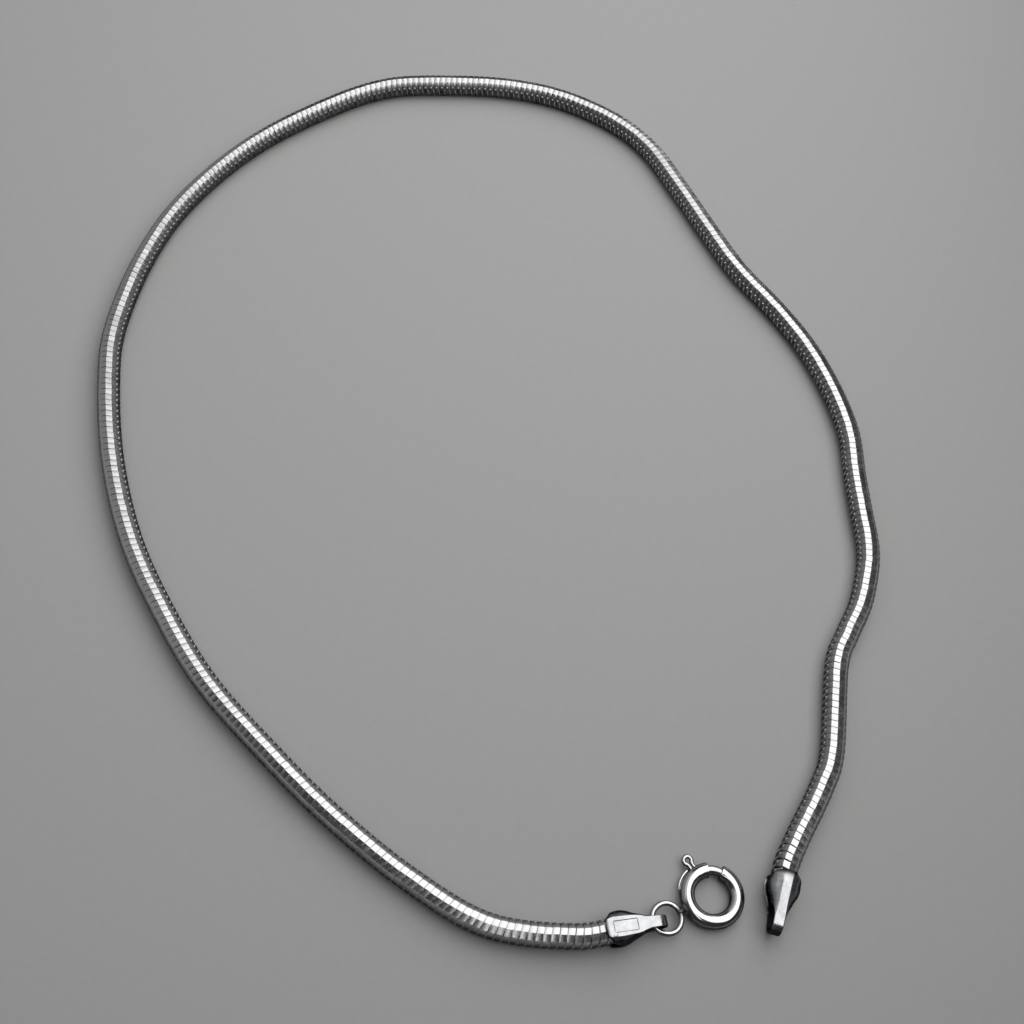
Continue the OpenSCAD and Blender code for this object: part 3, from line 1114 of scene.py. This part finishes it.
def case_turns():
    """Angles of the case's sections, from the mouth's end round to its start."""
    stops = [MOUTH_END, SLOT_START, SLOT_END, MOUTH_START + 360]
    turns = [MOUTH_END]
    for a, b in zip(stops, stops[1:]):
        count = max(1, round((b - a) / CASE_STEP))
        turns += [a + (b - a) * (k + 1) / count for k in range(count)]
    return turns


def case_mesh():
    """The bent case tube as an open skin, with its mouth and the knob's slot left out."""
    turns = case_turns()
    slot_half = degrees(asin(SLOT_HALF_HEIGHT / TUBE_RADIUS))
    wide = 360 - 2 * slot_half
    rounds = [-slot_half, 0] + [slot_half + wide * k / CASE_SIDES for k in range(CASE_SIDES)]
    points = []
    for turn in turns:
        for angle in rounds:
            reach = RING_RADIUS + TUBE_RADIUS * cos(radians(angle))
            points.append(on_ring(turn, reach, TUBE_RADIUS * sin(radians(angle))))
    sides = len(rounds)
    faces = []
    for i in range(len(turns) - 1):
        along_slot = SLOT_START < turns[i] + CASE_STEP / 2 < SLOT_END
        a = i * sides
        b = a + sides
        for k in range(2 if along_slot else 0, sides):
            m = (k + 1) % sides
            faces.append((a + k, b + k, b + m, a + m))
    mesh = bpy.data.meshes.new("case")
    mesh.from_pydata([tuple(p) for p in points], [], faces)
    whole = bmesh.new()
    whole.from_mesh(mesh)
    unused = [v for v in whole.verts if not v.link_faces]
    bmesh.ops.delete(whole, geom=unused, context="VERTS")
    whole.to_mesh(mesh)
    whole.free()
    face = mesh.polygons[len(mesh.polygons) // 2]
    if face.normal.dot(face.center - tube_middle(face.center)) < 0:
        mesh.flip_normals()
    return mesh


def tube_middle(p):
    """The nearest point of the case tube's middle line."""
    return Vector((p.x, p.y, 0)).normalized() * RING_RADIUS


def solder_mesh():
    """Solder that flows from the case to the eye, as a turned shape."""
    points, faces = skin([
        [
            Vector((along, radius * cos(a), radius * sin(a)))
            for a in [2 * pi * k / SOLDER_SIDES for k in range(SOLDER_SIDES)]
        ]
        for along, radius in SOLDER_PROFILE
    ])
    mesh = mesh_from("solder", points, faces)
    turn_outwards(mesh)
    mesh.transform(Matrix.Rotation(radians(EYE_ANGLE), 4, "Z"))
    return mesh


def eye_mesh():
    """The closed eye beside the case."""
    centre = on_ring(EYE_ANGLE, EYE_REACH)
    run = [centre + on_ring(a, EYE_RADIUS) for a in range(0, 360, EYE_STEP)]
    points, faces = wire(run, EYE_WIRE, EYE_SIDES, closed=True)
    mesh = mesh_from("eye", points, faces)
    turn_outwards(mesh)
    return mesh


def lip_mesh():
    """The lip under the slot, thin at both ends."""
    rings = []
    for i in range(LIP_STEPS + 1):
        share = i / LIP_STEPS
        angle = SLOT_START + (SLOT_END - SLOT_START) * share
        size = max(LIP_THINNEST, sin(pi * share)) ** LIP_TAPER
        reach = LIP_REACH - LIP_HALF_WIDTH * (1 - size)
        rings.append([
            on_ring(
                angle, reach + LIP_HALF_WIDTH * size * cos(a),
                LIP_HEIGHT + LIP_HALF_HEIGHT * size * sin(a),
            )
            for a in [2 * pi * k / LIP_SIDES for k in range(LIP_SIDES)]
        ])
    points, faces = skin(rings)
    mesh = mesh_from("lip", points, faces)
    turn_outwards(mesh)
    return mesh


def add_case(material):
    """The case with its solder, eye and lip, in one piece."""
    case = new_piece("case_skin", case_mesh())
    wall = case.modifiers.new("wall", "SOLIDIFY")
    wall.thickness = TUBE_WALL
    wall.offset = -1
    wall.use_rim = True
    apply_modifiers(case)
    soften_edges(case, CASE_EDGE_ROUND)
    mesh = joined("spring_ring_case", [case.data, solder_mesh(), eye_mesh(), lip_mesh()])
    bpy.data.objects.remove(case)
    mesh.shade_smooth()
    mesh.set_sharp_from_angle(angle=radians(CASE_CRISP))
    # Painted shade inside the case and round the solder
    mark_painted_shade(mesh, case_shade)
    mesh.transform(ring_frame())
    # Painted shade on the faces that turn sideways and down
    paint_side_shade(mesh, *CLASP_SIDE_SHADE)
    mesh.materials.append(material)
    piece = new_piece("spring_ring_case", mesh)
    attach(piece, "necklace")
    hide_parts("spring_ring")


def case_shade(p):
    """Painted shade inside the case, and round the solder."""
    start, growth = CASE_SHADE
    depth = (TUBE_RADIUS - (p - tube_middle(p)).length) / TUBE_WALL
    level, fading = SOLDER_SHADE
    from_solder = (p - on_ring(EYE_ANGLE, SOLDER_MIDDLE)).length
    return max((depth - start) / growth, level - from_solder / fading)


def bar_mesh():
    """The bent bar that closes the mouth."""
    start = MOUTH_START - TIP_ENTRY
    turn = KNOB_ANGLE + TRIGGER_TAIL - start
    run = [
        on_ring(start + turn * k / TRIGGER_STEPS, RING_RADIUS) for k in range(TRIGGER_STEPS + 1)
    ]
    points, faces = wire(run, TRIGGER_WIRE, TRIGGER_SIDES, round_ends=False)
    mesh = mesh_from("bar", points, faces)
    turn_outwards(mesh)
    return mesh


def knob_mesh():
    """The knob: a loop of wire that stands out of the slot on two legs."""
    opening = degrees(asin(LEG_SIDE / KNOB_RADIUS)) + KNOB_GAP
    middle = Vector((KNOB_REACH, 0, 0))
    loop = [
        middle + on_ring(180 + opening + (360 - 2 * opening) * k / KNOB_STEPS, KNOB_RADIUS)
        for k in range(KNOB_STEPS + 1)
    ]
    neck = KNOB_REACH - KNOB_RADIUS * KNOB_NECK
    leg = [
        Vector((LEG_START, -LEG_SIDE, 0)),
        Vector(((LEG_START + neck) / 2, -LEG_SIDE, 0)),
        Vector((neck, -LEG_SIDE * LEG_PINCH, 0)),
    ]
    other = [Vector((p.x, -p.y, 0)) for p in reversed(leg)]
    points, faces = wire(smooth_run(leg + loop + other, 2), KNOB_WIRE, KNOB_SIDES)
    mesh = mesh_from("knob", points, faces)
    turn_outwards(mesh)
    mesh.transform(Matrix.Rotation(radians(KNOB_ANGLE), 4, "Z"))
    return mesh


def add_trigger(material):
    """The trigger, which slides round the ring on a body of its own."""
    mesh = joined("trigger_wire", [bar_mesh(), knob_mesh()])
    mesh.shade_smooth()
    # The trigger has no painted shade of its own, only that on its sides added below
    mesh.attributes.new("recess", "FLOAT", "POINT")
    mesh.transform(ring_frame())
    # Painted shade on the faces that turn sideways and down
    paint_side_shade(mesh, *CLASP_SIDE_SHADE)
    mesh.materials.append(material)
    piece = new_piece("trigger_wire", mesh)
    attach(piece, "trigger")
    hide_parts("trigger")


# The scene
scene.view_settings.view_transform = "Standard"
add_camera()
add_lights()
add_floor()
handling = handling_group()
tarnish = shade_and_tarnish_group()
chain_silver = silver(
    "chain_silver", (0.86, 0.86, 0.855), roughness=0.17, film=0.05, smudges=0.1, scratches=0.35,
    dulling=PLATE_DULLING,
)
cap_silver = silver(
    "cap_silver", (0.88, 0.89, 0.91), roughness=0.1, film=0.5, smudges=0.12, scratches=0.5,
)
clasp_silver = silver(
    "clasp_silver", (0.9, 0.89, 0.87), roughness=0.09, film=0.04, smudges=0.08, scratches=0.2,
)
trigger_silver = silver(
    "trigger_silver", (0.88, 0.87, 0.85), roughness=0.12, film=0.05, smudges=0.1, scratches=0.4,
)
add_chain(chain_silver)
add_cap(
    "clasp_cap_sheet", "clasp_end_cap", ROUTE[0], ROUTE[1],
    roll=0, leaf_flat=CLASP_LEAF_FLAT, material=cap_silver, panel=True,
)
add_cap(
    "free_cap_sheet", "free_end_cap", ROUTE[-1], ROUTE[-2],
    roll=FREE_CAP_ROLL, leaf_flat=FREE_LEAF_FLAT, material=cap_silver, panel=False,
)
add_case(clasp_silver)
add_trigger(trigger_silver)
